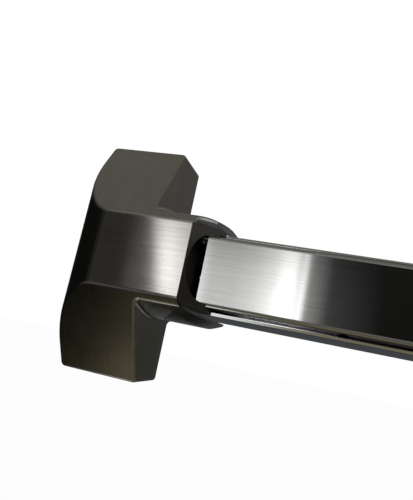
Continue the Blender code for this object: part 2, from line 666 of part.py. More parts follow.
def make_pad():
    frame = joint_frame("pad_frame", ((PAD_START + PAD_END) / 2, -PAD_FRONT, 0))
    outline = channel_outline(0, PAD_FACE_HALF, PAD_HALF, PAD_ROLL_DEPTH, PAD_SIDE, PAD_SHEET)
    prism("push_pad", [outline], "X", -PAD_LENGTH / 2, PAD_LENGTH / 2, "pad_steel", parent=frame)
    under = PAD_SHEET + SEAT
    pin_level = PAD_FRONT - CRANK_PIVOT - PAD_ARM * math.sin(math.radians(PAD_ARM_REST))
    rest_reach = PAD_ARM * math.cos(math.radians(PAD_ARM_REST))
    for place, name in zip(CRANK_PLACES, ("left_pad_bracket", "right_pad_bracket")):
        middle = place + (rest_reach + PAD_ARM) / 2
        local = (middle - (PAD_START + PAD_END) / 2, 0, 0)
        slot_half = (PAD_ARM - rest_reach) / 2 + 0.2 * MM
        slot = stadium(-slot_half, pin_level, slot_half, pin_level, PIN + RUN)
        plate = box_outline(-8 * MM, under, 8 * MM, pin_level + 4.2 * MM)
        near = -CRANK_PLATE / 2 - 2.4 * MM
        bracket = prism(name, [plate, slot], "Z", near - 3 * MM, near, "zinc_steel", local, frame)
        flange = box_outline(-8 * MM, near - 16 * MM, 8 * MM, near - 1 * MM)
        flange_plate = prism(name + "_flange", [flange], "Y", under, under + 2.5 * MM, "zinc_steel")
        combine(bracket, flange_plate, "UNION")


# --- Cranks and rod -------------------------------------------------------------------------------


def make_crank_station(side, x):
    """One bell crank on its bracket: pushing its pad arm to the door swings its rod arm along the bar."""
    seat = -RAIL_FLOOR - SEAT
    ear_gap = CRANK_HUB_LENGTH / 2 + RUN
    rise = -CRANK_PIVOT - 6 * MM
    ear = [(-9 * MM, seat), (-9 * MM, seat - 5 * MM), (-5 * MM, rise), (5 * MM, rise),
           (9 * MM, seat - 5 * MM),
           (9 * MM, seat)]
    foot = box_outline(-CRANK_FOOT_HALF, -ear_gap - EAR, CRANK_FOOT_HALF, ear_gap + EAR)
    holes = [circle(step, z, FOOT_SCREW + SEAT, 12) for step, z in CRANK_SCREWS]
    bracket = prism(f"{side}_crank_bracket", [foot, *holes], "Y", seat - 2.4 * MM, seat, "zinc_steel",
                    (x, 0, 0))
    for end in (1, -1):
        low, high = sorted((end * ear_gap, end * (ear_gap + EAR)))
        hole = circle(0, -CRANK_PIVOT, PIVOT_PIN + SEAT)
        combine(bracket, prism(f"{side}_ear_{end}", [ear, hole], "Z", low, high, "zinc_steel"), "UNION")
    for number, (step, z) in enumerate(CRANK_SCREWS, 1):
        place = (x + step, seat - 2.4 * MM - SEAT, z)
        screw(f"{side}_bracket_screw_{number}", place, (0, -1, 0), 2.4 * MM + RAIL_FLOOR, shank=FOOT_SCREW)
    pin(f"{side}_crank_pivot_pin", PIVOT_PIN, 2 * (ear_gap + EAR) + 2 * MM, (x, -CRANK_PIVOT, 0))

    frame = joint_frame(f"{side}_crank_frame", (x, -CRANK_PIVOT, 0))
    lean = math.radians(PAD_ARM_REST)
    swing = math.radians(CRANK_TURN / 2)
    pad_pin = (PAD_ARM * math.cos(lean), -PAD_ARM * math.sin(lean))
    rod_pin = (-ROD_ARM * math.sin(swing), -ROD_ARM * math.cos(swing))
    half = CRANK_PLATE / 2
    crank = prism(f"{side}_crank", [stadium(0, 0, *pad_pin, 4.6 * MM), circle(*pad_pin, PIN + SEAT)], "Z",
                  -half, half, "zinc_steel", parent=frame)
    arm = [stadium(0, 0, *rod_pin, 4.6 * MM), circle(*rod_pin, PIN + SEAT)]
    rod_arm = prism(f"{side}_rod_arm", arm, "Z", -half + 0.5 * MM, half - 0.5 * MM, "zinc_steel")
    combine(crank, rod_arm, "UNION")
    reach = CRANK_HUB_LENGTH / 2
    hub = prism(f"{side}_crank_hub", [circle(0, 0, CRANK_HUB, 18)], "Z", -reach, reach, "zinc_steel")
    combine(crank, hub, "UNION")
    bore = prism(f"{side}_crank_bore", [circle(0, 0, PIVOT_PIN + SEAT)], "Z", -reach - MM, reach + MM,
                 "rubber")
    combine(crank, bore, "DIFFERENCE")
    low = -half - 6.4 * MM
    pin(f"{side}_pad_pin", PIN, half - low, (*pad_pin, (half + low) / 2), frame)
    high = ROD_SIDE + ROD_THICK + 1.2 * MM
    pin(f"{side}_rod_pin", PIN, high + half, (*rod_pin, (high - half) / 2), frame)
    turn_radius = CRANK_HUB + SEAT + SPRING_WIRE
    start = half + SPRING_WIRE + SEAT
    leg = [(turn_radius, -9 * MM, start + 3 * 2.2 * SPRING_WIRE)]
    coil(f"{side}_return_spring", "Z", turn_radius, SPRING_WIRE, 3, start, start + 3 * 2.2 * SPRING_WIRE,
         (0, 0, 0), tail=leg, parent=frame)

    rise = PAD_FRONT - PAD_SIDE - PAD_TRAVEL - RAIL_FLOOR - 2 * SEAT
    bumper = [(0, rise), (BUMPER - MM, rise), (BUMPER, rise - MM), (BUMPER, 0), (0, 0)]
    place = (x + BUMPER_STEP, seat, -PAD_HALF + PAD_SHEET / 2)
    turned(f"{side}_pad_bumper", bumper, "rubber", 16, place, (0, -1, 0))


def make_rod():
    """A flat bar that joins both cranks to the head's lever. The dogging finger holds a catch on it."""
    start_x = LEVER_X - LEVER_ROD_ARM * math.sin(math.radians(LEVER_TURN / 2))
    frame = joint_frame("rod_frame", (start_x, -ROD_RISE, ROD_SIDE))
    swing = math.radians(CRANK_TURN / 2)
    lean = math.radians(LEVER_TURN / 2)
    pins = [(0, (-LEVER_PIVOT + LEVER_ROD_ARM * math.cos(lean), -LEVER_PIVOT + LEVER_ROD_ARM))]
    for x in CRANK_PLACES:
        rod_pin = x - ROD_ARM * math.sin(swing) - start_x
        pins.append((rod_pin, (-CRANK_PIVOT - ROD_ARM * math.cos(swing), -CRANK_PIVOT - ROD_ARM)))
    catch = DOG_X - DOG_FINGER_HALF - ROD_TRAVEL + 2 * DOG_FINGER_HALF + 0.6 * MM - start_x
    half = ROD_WIDTH / 2
    end = catch + CATCH_WIDTH
    outline = box_outline(-6 * MM, -half, end, half)
    holes = []
    for x, levels in pins:
        low, high = sorted(levels)
        holes.append(stadium(x, low + ROD_RISE, x, high + ROD_RISE, PIN + RUN))
    rod = prism("actuator_rod", [outline, *holes], "Z", 0, ROD_THICK, "zinc_steel", parent=frame)
    tab = box_outline(catch, -half + 2 * MM, end, half - 2 * MM)
    catch_low = DOG_SHAFT + 2.6 * MM - ROD_SIDE
    combine(rod, prism("rod_catch", [tab], "Z", catch_low, ROD_THICK / 2, "zinc_steel"), "UNION")


# --- Filler, dogging and far end ------------------------------------------------------------------


def make_filler():
    """The fixed cover over the rest of the rail, with the hole for the dogging key."""
    start = PAD_END + FILLER_GAP
    outline = channel_outline(FILLER_FRONT, PAD_FACE_HALF, PAD_HALF + 1.6 * MM, PAD_ROLL_DEPTH, 18 * MM,
                              PAD_SHEET)
    filler = prism("filler_cover", [outline], "X", start, END_CAP_START + 6 * MM, "pad_steel")
    hole = prism("key_hole", [circle(DOG_X, 0, DOG_HEAD + SEAT, 20)], "Y", -FILLER_FRONT - MM,
                 -FILLER_FRONT + 5 * MM, "rubber")
    combine(filler, hole, "DIFFERENCE")


def make_dogging():
    """A key-turned screw whose finger drops behind the rod's catch and holds the pad in."""
    seat = -RAIL_FLOOR - SEAT
    deck = -22 * MM
    plate = 2.5 * MM
    reach = DOG_FOOT + 5 * MM
    side = [(-reach, seat), (-reach, seat - plate), (-14 * MM, seat - plate), (-14 * MM, deck - plate),
            (14 * MM, deck - plate), (14 * MM, seat - plate), (reach, seat - plate), (reach, seat),
            (14 * MM - plate, seat), (14 * MM - plate, deck), (-14 * MM + plate, deck),
            (-14 * MM + plate, seat)]
    bracket = prism("dogging_bracket", [side], "Z", -11 * MM, 3 * MM, "zinc_steel", (DOG_X, 0, 0))
    bore = prism("dogging_bore", [circle(0, 0, DOG_SHAFT + SEAT)], "Y", deck - plate - MM, deck + MM,
                 "rubber")
    combine(bracket, bore, "DIFFERENCE")
    for number, step in enumerate((-DOG_FOOT, DOG_FOOT), 1):
        hole = prism(f"dogging_foot_hole_{number}", [circle(step, 0, FOOT_SCREW + SEAT, 12)], "Y",
                     seat - plate - MM, seat + MM, "rubber")
        combine(bracket, hole, "DIFFERENCE")
        place = (DOG_X + step, seat - plate - SEAT, 0)
        screw(f"dogging_bracket_screw_{number}", place, (0, -1, 0), plate + RAIL_FLOOR, shank=FOOT_SCREW,
              head=3 * MM)

    frame = joint_frame("dogging_frame", (DOG_X, -FILLER_FRONT, 0))
    length = FILLER_FRONT - 12 * MM
    socket = 2.4 * MM
    profile = [(0, -2.5 * MM), (socket, -2.5 * MM), (socket, 0), (DOG_HEAD, 0), (DOG_HEAD, -4 * MM),
               (DOG_SHAFT, -4 * MM), (DOG_SHAFT, -length), (0, -length)]
    turned("dogging_screw", profile, "black_screw", 18, (0, -0.2 * MM, 0), (0, -1, 0), frame)
    finger = arc(0, 0, DOG_SHAFT + 2.2 * MM, 20, 340, 14)
    finger = [(-u, v) for u, v in finger]
    tip = math.sqrt(DOG_FINGER**2 - DOG_FINGER_HALF**2)
    finger += [(-tip, -DOG_FINGER_HALF), (-DOG_FINGER, 0), (-tip, DOG_FINGER_HALF)]
    level = FILLER_FRONT - ROD_RISE - 2.5 * MM
    prism("dogging_finger", [finger, circle(0, 0, DOG_SHAFT + SEAT)], "Y", level, level + 5 * MM,
          "latch_steel", parent=frame)
    ring = [circle(0, 0, DOG_SHAFT + 2 * MM, 16), circle(0, 0, DOG_SHAFT + SEAT, 16)]
    clip = FILLER_FRONT + deck + SEAT
    prism("dogging_clip", ring, "Y", clip, clip + 1.2 * MM, "spring_steel", parent=frame)


def make_far_end():
    seat = -RAIL_FLOOR - SEAT
    outline = [(RAIL_END - 28 * MM, seat), (RAIL_END - 28 * MM, seat - 3 * MM),
               (END_CAP_END - 3 * MM, seat - 3 * MM),
               (END_CAP_END - 3 * MM, 0), (RAIL_END + SEAT, 0), (RAIL_END + SEAT, seat)]
    bracket = prism("end_bracket", [outline], "Z", -22 * MM, 22 * MM, "zinc_steel")
    post_x = (RAIL_END + END_CAP_START) / 2
    post = [(0, 0), (5 * MM, 0), (5 * MM, -POST_RISE), (POST_BORE, -POST_RISE),
            (POST_BORE, -POST_RISE + 12 * MM),
            (0, -POST_RISE + 12 * MM)]
    post = [(r, -h) for r, h in post]
    post_piece = turned("screw_post", post, "zinc_steel", 16, (post_x, seat - 1 * MM, 0), (0, -1, 0))
    combine(bracket, post_piece, "UNION")

    def cap_form(name, inset, run):
        side = [(END_CAP_START - run, run), (END_CAP_START - run, -END_CAP_FRONT + inset),
                (END_CAP_END - 14 * MM, -END_CAP_FRONT + inset), (END_CAP_END - inset, -22 * MM),
                (END_CAP_END - inset, run)]
        form = prism(name, [side], "Z", -60 * MM, 60 * MM, "satin_steel")
        half = [(run, END_CAP_HALF - inset), (-34 * MM, END_CAP_HALF - 1.5 * MM - inset),
                (-END_CAP_FRONT + inset, 32 * MM - inset * 0.5)]
        combine(form, prism(name + "_profile", [mirrored(half)], "X", END_CAP_START - 10 * MM,
                            END_CAP_END + 10 * MM, "satin_steel"), "INTERSECT")
        return form

    cap = cap_form("end_cap", 0.0, 0.0)
    combine(cap, cap_form("end_cap_hollow", END_CAP_WALL, 4 * MM), "DIFFERENCE")
    hole = prism("end_cap_hole", [circle(post_x, 0, POST_BORE + SEAT)], "Y", -END_CAP_FRONT - MM,
                 -END_CAP_FRONT + 4 * MM, "rubber")
    combine(cap, hole, "DIFFERENCE")
    screw("end_cap_screw", (post_x, -END_CAP_FRONT - SEAT, 0), (0, -1, 0), 10 * MM, "latch_steel",
          2.2 * MM, 4.5 * MM)


def main():
    clear_scene()
    make_head_cover()
    make_base_plate()
    make_chassis()
    make_latch()
    make_deadlatch()
    make_lever()
    make_rail()
    make_guide()
    make_pad()
    for side, x in zip(("left", "right"), CRANK_PLACES):
        make_crank_station(side, x)
    make_rod()
    make_filler()
    make_dogging()
    make_far_end()


main()
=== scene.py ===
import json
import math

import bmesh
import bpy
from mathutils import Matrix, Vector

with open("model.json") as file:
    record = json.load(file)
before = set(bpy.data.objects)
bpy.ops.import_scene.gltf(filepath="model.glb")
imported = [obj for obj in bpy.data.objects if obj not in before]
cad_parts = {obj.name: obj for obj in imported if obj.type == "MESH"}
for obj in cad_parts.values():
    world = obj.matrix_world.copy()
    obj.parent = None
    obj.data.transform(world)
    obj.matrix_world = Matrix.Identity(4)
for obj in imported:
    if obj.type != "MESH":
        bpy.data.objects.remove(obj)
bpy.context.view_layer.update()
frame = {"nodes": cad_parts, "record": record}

# %% [markdown]
# # A panic exit bar, finished and lit
# The metal and plastic pieces arrive as a fixed frame in metres: +X runs along the bar, -Y points out of the
# door at the person who pushes, +Z is up. Their shapes and places are settled, so this lesson is about
# what they are made of and how a studio shows it.

nodes = frame["nodes"]

# %% [markdown]
# ## The camera
# The device is seen from the right and from a little below, with the camera rolled. A camera can
# be aimed with a constraint or with angles. Angles are used, since a roll has to be kept: first the
# direction of view from azimuth and elevation, then the roll about it.

# %% The direction of view
VIEW_AZIMUTH = 15.884  # degrees that the camera stands round to the right
VIEW_ELEVATION = -10.119  # below the bar, looking up
VIEW_ROLL = -11.780

azimuth = math.radians(VIEW_AZIMUTH)
elevation = math.radians(VIEW_ELEVATION)
back = Vector((
    math.sin(azimuth) * math.cos(elevation),
    -math.cos(azimuth) * math.cos(elevation),
    math.sin(elevation),
))
level = Vector((0, 0, 1)).cross(back).normalized()
upright = Matrix((level, back.cross(level), back)).transposed()
rolled = upright @ Matrix.Rotation(math.radians(-VIEW_ROLL), 3, "Z")
print("looking along", tuple(round(v, 3) for v in -back))

# %% The camera
CAMERA_PLACE = (0.1772, -0.4207, -0.0514)
FOCAL_LENGTH = 34.034  # millimetres
SENSOR_WIDTH = 36.0  # millimetres
NEAREST_SEEN = 0.01  # metres

camera_data = bpy.data.cameras.new("camera")
camera_data.lens = FOCAL_LENGTH
camera_data.sensor_width = SENSOR_WIDTH
camera_data.clip_start = NEAREST_SEEN
camera = bpy.data.objects.new("camera", camera_data)
camera.matrix_world = Matrix.Translation(CAMERA_PLACE) @ rolled.to_4x4()
bpy.context.scene.collection.objects.link(camera)
bpy.context.scene.camera = camera
bpy.context.scene.view_settings.view_transform = "Standard"
print("camera at", CAMERA_PLACE)

# %% [markdown]
# ## Sums on sockets
# A material is a graph. Written node by node it is long and hard to read, so one small class wraps an
# output socket and lets plain sums add the Math nodes. Any other node comes from one method, which takes
# the node's type, its settings and what goes into its sockets. Colours are never sent through a Math node,
# which would turn them grey: they go through Mix.


# %% The wire class
class Wire:
    """An output socket of a material's graph. Sums on it add Math nodes."""

    def __init__(self, tree, socket=None):
        self.tree = tree
        self.socket = socket

    def node(self, kind, settings=None, sockets=None, out=0):
        """Adds a node: settings first, then values or wires into its sockets."""
        made = self.tree.nodes.new(kind)
        for name, value in (settings or {}).items():
            if name == "stops":
                fill_ramp(made.color_ramp, value)
            else:
                setattr(made, name, value)
        for name, value in (sockets or {}).items():
            if isinstance(value, Wire):
                self.tree.links.new(value.socket, made.inputs[name])
            else:
                made.inputs[name].default_value = value
        return Wire(self.tree, made.outputs[out] if made.outputs else None)

    def maths(self, operation, *values):
        return self.node("ShaderNodeMath", {"operation": operation}, dict(enumerate(values)))

    def __add__(self, other):
        return self.maths("ADD", self, other)

    def __sub__(self, other):
        return self.maths("SUBTRACT", self, other)

    def __rsub__(self, other):
        return self.maths("SUBTRACT", other, self)

    def __mul__(self, other):
        return self.maths("MULTIPLY", self, other)

    def __truediv__(self, other):
        return self.maths("DIVIDE", self, other)

    def __neg__(self):
        return 0 - self

    def __abs__(self):
        return self.maths("ABSOLUTE", self)

    __radd__ = __add__
    __rmul__ = __mul__

    def clamped(self, low, high):
        return self.maths("MAXIMUM", self.maths("MINIMUM", self, high), low)

    def between(self, low, high):
        """0 at low and 1 at high, level outside them. With low over high, it falls instead."""
        return ((self - low) / (high - low)).clamped(0.0, 1.0)

    def swing(self, amount):
        """A pattern from 0 to 1, turned into a push of up to half the amount either way."""
        return (self - 0.5) * amount

    def mix(self, first, second):
        """The colour first where this is 0 or less, and second where it is 1 or more."""
        return self.node("ShaderNodeMix", {"data_type": "RGBA"}, {0: self, 6: first, 7: second}, out=2)


# %% Colours and ramps
def fill_ramp(ramp, stops):
    while len(ramp.elements) < len(stops):
        ramp.elements.new(0.5)
    for element, (place, colour) in zip(ramp.elements, stops):
        element.position = place
        element.color = colour


def rgb(red, green, blue):
    return (red, green, blue, 1.0)


def grey(value):
    return rgb(value, value, value)


WHITE = grey(1.0)
BLACK = grey(0.0)
print("white", WHITE, "black", BLACK)

# %% [markdown]
# ## Where a surface is
# Every frame piece keeps its place in its own mesh, so Object coordinates are metres from the middle of the
# lock head, and they ride along when a joint moves. Stretching them before a noise node turns round
# blotches into long streaks, which is all that a brushed finish is.

# %% Coordinates
X, Y, Z = range(3)


def place_on(tree):
    """The point on the piece, in metres."""
    return Wire(tree).node("ShaderNodeTexCoord", out=3)


def part_of(point, axis):
    """One coordinate of a point or of a direction."""
    return point.node("ShaderNodeSeparateXYZ", None, {0: point}, out=axis)


print("a Separate node's outputs for X, Y and Z:", X, Y, Z)

# %% Streaks and bumps
MICRON = 0.000001  # metres


def noise(point, scales, detail=2.0, roughness=0.5, seed=0.0):
    """Noise with so many cells per metre along X, Y and Z."""
    moved = point.node("ShaderNodeVectorMath", {"operation": "ADD"}, {0: point, 1: (seed, seed, seed)})
    stretched = point.node("ShaderNodeMapping", {"vector_type": "POINT"}, {"Vector": moved, "Scale": scales})
    return point.node("ShaderNodeTexNoise", {"noise_dimensions": "3D"},
                      {"Vector": stretched, "Scale": 1.0, "Detail": detail, "Roughness": roughness})


def even(cells):
    """The same number of cells per metre along all three axes."""
    return (cells, cells, cells)


def bump(height, microns):
    return height.node("ShaderNodeBump", None, {"Height": height, "Distance": microns * MICRON})


print("round blotches of a millimetre take scales of", even(1000.0))


# %% One material
def new_finish(name, constants, links):
    """A Principled material: constants are set on its sockets, and links(point) gives the wired ones."""
    material = bpy.data.materials.new(name)
    material.use_nodes = True
    tree = material.node_tree
    shader = tree.nodes["Principled BSDF"]
    for socket, value in constants.items():
        shader.inputs[socket].default_value = value
    for socket, wire in links(place_on(tree)).items():
        tree.links.new(wire.socket, shader.inputs[socket])
    print("finish:", name, "from", len(tree.nodes), "nodes")
    return material


# %% [markdown]
# ## Satin stainless cover
# The lock head's cover is pressed sheet, brushed with a belt: along the bar on the flat band, and up and
# down on the wings. A wave texture could draw the lines, but they would be even. Stretched noise at two
# sizes, with a round cloud over it, gives the broken lines of a real belt. They go mostly into the colour,
# and a little into the roughness and a very shallow bump. The brushing also smears the highlight across
# the lines: that is the metal's anisotropy, turned a quarter so that the smear stands upright on the band.

# %% Satin stainless cover
BAND_HALF = 0.0295  # half the height of the flat band
SEAM = 0.0002  # half the width over which one brushing gives way to the other
BELT = {"detail": 3.0, "roughness": 0.6}
FINE_ALONG = {"scales": (9.0, 900.0, 2600.0), "seed": 0.0, **BELT}
FINE_UPWARD = {"scales": (2600.0, 60.0, 9.0), "seed": 1.7, **BELT}
WIDE_ALONG = {"scales": (16.0, 400.0, 700.0), "seed": 3.1}
WIDE_UPWARD = {"scales": (700.0, 30.0, 16.0), "seed": 4.9}
SPECK_PEAKS = (0.73, 0.78)  # the part of the noise that shows as specks
COVER_ROUGHNESS = 0.15
COVER_DARK = rgb(0.40, 0.385, 0.36)
COVER_LIGHT = rgb(0.66, 0.645, 0.61)


def brushed(point, wing, along, upward):
    """Streaks along the bar on the band, and upward on the wings."""
    return noise(point, **along) * (1 - wing) + noise(point, **upward) * wing


def cover_finish(point):
    wing = abs(part_of(point, Z)).between(BAND_HALF - SEAM, BAND_HALF + SEAM)
    streak = brushed(point, wing, FINE_ALONG, FINE_UPWARD)
    broad = brushed(point, wing, WIDE_ALONG, WIDE_UPWARD)
    cloud = noise(point, even(26.0), detail=3.0, roughness=0.6, seed=7.7)
    speck = noise(point, even(420.0), detail=1.0, roughness=0.4, seed=9.3).between(*SPECK_PEAKS)
    tone = streak.swing(0.7) + broad.swing(0.5) + cloud.swing(0.5) + 0.5
    return {
        "Base Color": tone.mix(COVER_DARK, COVER_LIGHT),
        "Roughness": streak.swing(0.06) + cloud.swing(0.03) + speck * 0.08 + COVER_ROUGHNESS,
        "Normal": bump(streak * 0.7 + broad * 0.3, 1),
    }


QUARTER_TURN = 0.25
satin = new_finish(
    "satin_steel", {"Metallic": 1.0, "Anisotropic": 0.9, "Anisotropic Rotation": QUARTER_TURN}, cover_finish,
)

# %% [markdown]
# ## Push pad
# The pad is stainless channel, and the fixed filler beyond it is the same sheet. It could share the cover's
# finish, but it is brushed along the bar only, and brighter and finer. A few deeper scratches are the peaks
# of one more noise, where hands and trolleys have met it.

# %% Push pad
SCRATCH_PEAKS = (0.70, 0.76)  # the part of the noise that shows as scratches
PAD_ROUGHNESS = 0.115
PAD_SMOOTHEST = 0.1
PAD_DARK = rgb(0.56, 0.565, 0.55)
PAD_LIGHT = rgb(0.82, 0.82, 0.805)


def pad_finish(point):
    streak = noise(point, (14.0, 1200.0, 3200.0), detail=3.0, roughness=0.6, seed=2.0)
    broad = noise(point, (20.0, 500.0, 760.0), seed=6.0)
    scratch = noise(point, (60.0, 900.0, 1500.0), roughness=0.7, seed=12.0).between(*SCRATCH_PEAKS)
    return {
        "Base Color": (streak.swing(0.9) + broad.swing(0.6) + 0.5).mix(PAD_DARK, PAD_LIGHT),
        "Roughness": (streak.swing(0.05) + scratch * 0.06 + PAD_ROUGHNESS).clamped(PAD_SMOOTHEST, 1.0),
        "Normal": bump(streak, 1),
    }


pad_steel = new_finish(
    "pad_steel", {"Metallic": 1.0, "Anisotropic": 1.0, "Anisotropic Rotation": QUARTER_TURN}, pad_finish,
)

# %% [markdown]
# ## Rail
# The rail is extruded aluminium, anodised bright, with faint die lines along its length. Beside the head
# its channel is a deep slot that hardly any light gets into, and that shade is painted into the colour. A
# dark liner could be modelled there, but a mask on the colour does the same with no new piece. It covers the
# channel's inside, from the rail's end to just past the pad's end, and paints it nearly black as shade.

# %% Rail
MOUTH_SHADE_FADE = (0.090, 0.110)  # metres along the bar: the dark inside ends between these
LIP_FADE = (-0.0385, -0.0370)  # out from the door: the lips, further out than this, stay bright
INSIDE_FADE = (0.0322, 0.0318)  # up or down from the middle: the outer walls stay bright
# painted shade: the near-black colour that stands for the shade deep in the channel
MOUTH_PAINTED_SHADE = grey(0.010)
RAIL_ROUGHNESS = 0.14
RAIL_DARK = rgb(0.78, 0.79, 0.81)
RAIL_LIGHT = rgb(0.92, 0.925, 0.94)


def rail_finish(point):
    line = noise(point, (2.0, 700.0, 1500.0), seed=5.0)
    cloud = noise(point, (18.0, 40.0, 40.0), seed=8.0)
    inside = part_of(point, Y).between(*LIP_FADE) * abs(part_of(point, Z)).between(*INSIDE_FADE)
    # the mask where shade is painted: the channel's inside, from the rail's end to just past the pad's end
    painted_mouth_shade = inside * (1 - part_of(point, X).between(*MOUTH_SHADE_FADE))
    metal = (line * 0.5 + cloud * 0.5).mix(RAIL_DARK, RAIL_LIGHT)
    return {
        # painted shade: the channel's inside turns nearly black
        "Base Color": painted_mouth_shade.mix(metal, MOUTH_PAINTED_SHADE),
        "Roughness": line.swing(0.08) + cloud.swing(0.08) + painted_mouth_shade * 0.5 + RAIL_ROUGHNESS,
        "Normal": bump(line, 10),
    }


aluminium = new_finish("bright_aluminium", {"Metallic": 1.0}, rail_finish)

# %% [markdown]
# ## Guide
# The guide beside the pad's end is moulded plastic. Moulds for such pieces are often spark eroded, which
# leaves an even, fine grain, so a dense noise goes into the roughness and the bump, and a slow one into the
# colour.

# %% Guide
GUIDE_ROUGHNESS = 0.42
GUIDE_DARK = rgb(0.018, 0.015, 0.012)
GUIDE_LIGHT = rgb(0.030, 0.026, 0.021)


def guide_finish(point):
    grain = noise(point, even(2600.0), seed=1.0)
    cloud = noise(point, even(60.0), seed=2.0)
    return {
        "Base Color": cloud.mix(GUIDE_DARK, GUIDE_LIGHT),
        "Roughness": grain.swing(0.2) + cloud.swing(0.1) + GUIDE_ROUGHNESS,
        "Normal": bump(grain, 20),
    }


guide_plastic = new_finish("dark_plastic", {"Specular IOR Level": 0.8}, guide_finish)

# %% [markdown]
# ## Zinc plate
# The plates and brackets inside are taken to be zinc plated steel: a pale, cloudy grey with a faint spangle.
# Voronoi cells are the crystals, and a cloud softens them, since thin plating hardly shows its grain.

# %% Zinc plate
SPANGLES = 700.0  # crystals per metre
ZINC_ROUGHNESS = 0.36
ZINC_DARK = rgb(0.50, 0.51, 0.50)
ZINC_LIGHT = rgb(0.70, 0.71, 0.68)


def zinc_finish(point):
    spangle = point.node("ShaderNodeTexVoronoi", {"feature": "F1"}, {"Vector": point, "Scale": SPANGLES})
    cloud = noise(point, even(90.0), detail=3.0, roughness=0.6, seed=3.0)
    return {
        "Base Color": (spangle * 0.4 + cloud * 0.6).mix(ZINC_DARK, ZINC_LIGHT),
        "Roughness": cloud.swing(0.25) + ZINC_ROUGHNESS,
        "Normal": bump(cloud, 40),
    }


zinc = new_finish("zinc_steel", {"Metallic": 1.0}, zinc_finish)

# %% [markdown]
# ## Latch steel, spring wire, black screws and rubber
# Four small finishes differ only in numbers: how the one noise is stretched, the two colours that it runs
# between, and how far it moves the roughness. Four functions would repeat each other, so one makes them all.


# %% Finishes of one noise
def one_noise_finish(scales, seed, detail, grain, dark, light, roughness, swing, microns):
    """links(point) for a finish whose colour, roughness and relief follow the same noise."""

    def links(point):
        pattern = noise(point, scales, detail, grain, seed)
        wired = {"Base Color": pattern.mix(dark, light), "Roughness": pattern.swing(swing) + roughness}
        if microns:
            wired["Normal"] = bump(pattern, microns)
        return wired

    return links


polished = new_finish("latch_steel", {"Metallic": 1.0}, one_noise_finish(
    scales=(900.0, 60.0, 900.0), seed=4.0, detail=2.0, grain=0.6,
    dark=grey(0.60), light=rgb(0.78, 0.78, 0.77), roughness=0.18, swing=0.12, microns=10,
))
spring_wire = new_finish("spring_steel", {"Metallic": 1.0}, one_noise_finish(
    scales=(1500.0, 1500.0, 200.0), seed=5.0, detail=2.0, grain=0.5,
    dark=rgb(0.20, 0.205, 0.215), light=rgb(0.34, 0.345, 0.36), roughness=0.34, swing=0.2, microns=0,
))
black_oxide = new_finish("black_screw", {"Metallic": 0.6}, one_noise_finish(
    scales=even(500.0), seed=6.0, detail=3.0, grain=0.6,
    dark=rgb(0.020, 0.020, 0.021), light=rgb(0.050, 0.050, 0.052), roughness=0.38, swing=0.25, microns=0,
))
rubber = new_finish("rubber", {}, one_noise_finish(
    scales=even(1200.0), seed=7.0, detail=3.0, grain=0.6,
    dark=grey(0.012), light=rgb(0.030, 0.029, 0.028), roughness=0.72, swing=0.2, microns=50,
))

# %% [markdown]
# ## Dressing the frame
# Each piece of the frame carries the name of its finish in the record, so one table dresses them all.

# %% Dressing the frame
FINISHES = {
    "satin_steel": satin,
    "pad_steel": pad_steel,
    "bright_aluminium": aluminium,
    "dark_plastic": guide_plastic,
    "zinc_steel": zinc,
    "latch_steel": polished,
    "spring_steel": spring_wire,
    "black_screw": black_oxide,
    "rubber": rubber,
}
slot_of = {row["node"]: row["material_slot"] for row in frame["record"]["subparts"]}
for name, piece in nodes.items():
    piece.data.materials.clear()
    piece.data.materials.append(FINISHES[slot_of[name]])
print("dressed:", len(nodes))

# %% [markdown]
# The pad starts close behind the cover's end, and a mirror there would show the guide's dark ramp. Brushed
# sheet scatters too widely for that, so the two pieces are left out of what shiny surfaces see.

# %% What the pad doesn't mirror
for name in ("head_cover", "push_bar_guide"):
    nodes[name].visible_glossy = False
    print("not mirrored:", name)

# %% [markdown]
# ## The room
# Brushed metal shows the room more than itself, so the room is painted by direction: how far right, behind
# and above a ray points. Real cards and walls could stand round the device, but each would also shade the
# others. An area is a product of ramps, each with the value where it starts and where it shows in full.

# %% Directions in the room
world = bpy.data.worlds.new("room")
world.use_nodes = True
bpy.context.scene.world = world
direction = Wire(world.node_tree).node("ShaderNodeTexCoord")
right = part_of(direction, X)
behind = part_of(direction, Y)
above = part_of(direction, Z)
WAYS = {
    "right": right, "left": -right, "behind": behind, "front": -behind, "above": above, "below": -above,
    "back left": behind - right,
}


def area(*limits):
    """The mask of the directions inside every limit, each (way, start, full)."""
    return math.prod(WAYS[way].between(start, full) for way, start, full in limits)


print("ways to point:", ", ".join(WAYS))

# %% [markdown]
# ### Ceiling and floor
# The sloped wings face up and down, so they show the ceiling and the floor. The ceiling is a dim warm grey
# that fades out towards the walls. The floor is darkest on the left and has one lighter patch.

# %% Ceiling and floor
NIGHT = rgb(0.006, 0.006, 0.005)
CEILING = rgb(0.150, 0.144, 0.126)
FLOOR_LEFT = rgb(0.003, 0.003, 0.001)
FLOOR_RIGHT = rgb(0.046, 0.041, 0.022)
FLOOR_PATCH = rgb(0.150, 0.132, 0.092)

painted = area(("above", 0.30, 0.85)).mix(NIGHT, CEILING)
ground = area(("right", -0.48, -0.38)).mix(FLOOR_LEFT, FLOOR_RIGHT)
ground = area(("below", 0.860, 0.870), ("right", -0.42, -0.39)).mix(ground, FLOOR_PATCH)
painted = area(("below", 0.66, 0.80)).mix(painted, ground)
print("ceiling", CEILING[:3], "floor", FLOOR_LEFT[:3], "to", FLOOR_RIGHT[:3])

# %% [markdown]
# ### Walls, window and gleam
# The side faces of the wings, the neck and the rail look at the walls, the window and a gleam on the floor
# behind. They are painted one over the other, so a later row covers an earlier one.

# %% Walls, window and gleam
WALL_COLOUR = rgb(0.085, 0.092, 0.102)
SIDE_COLOUR = rgb(0.042, 0.041, 0.032)
UPPER_SIDE_COLOUR = rgb(0.100, 0.097, 0.088)
WINDOW_COLOUR = rgb(0.66, 0.65, 0.61)
FRONT_LEFT_COLOUR = rgb(0.042, 0.040, 0.034)
GLEAM_COLOUR = rgb(0.92, 0.93, 0.90)

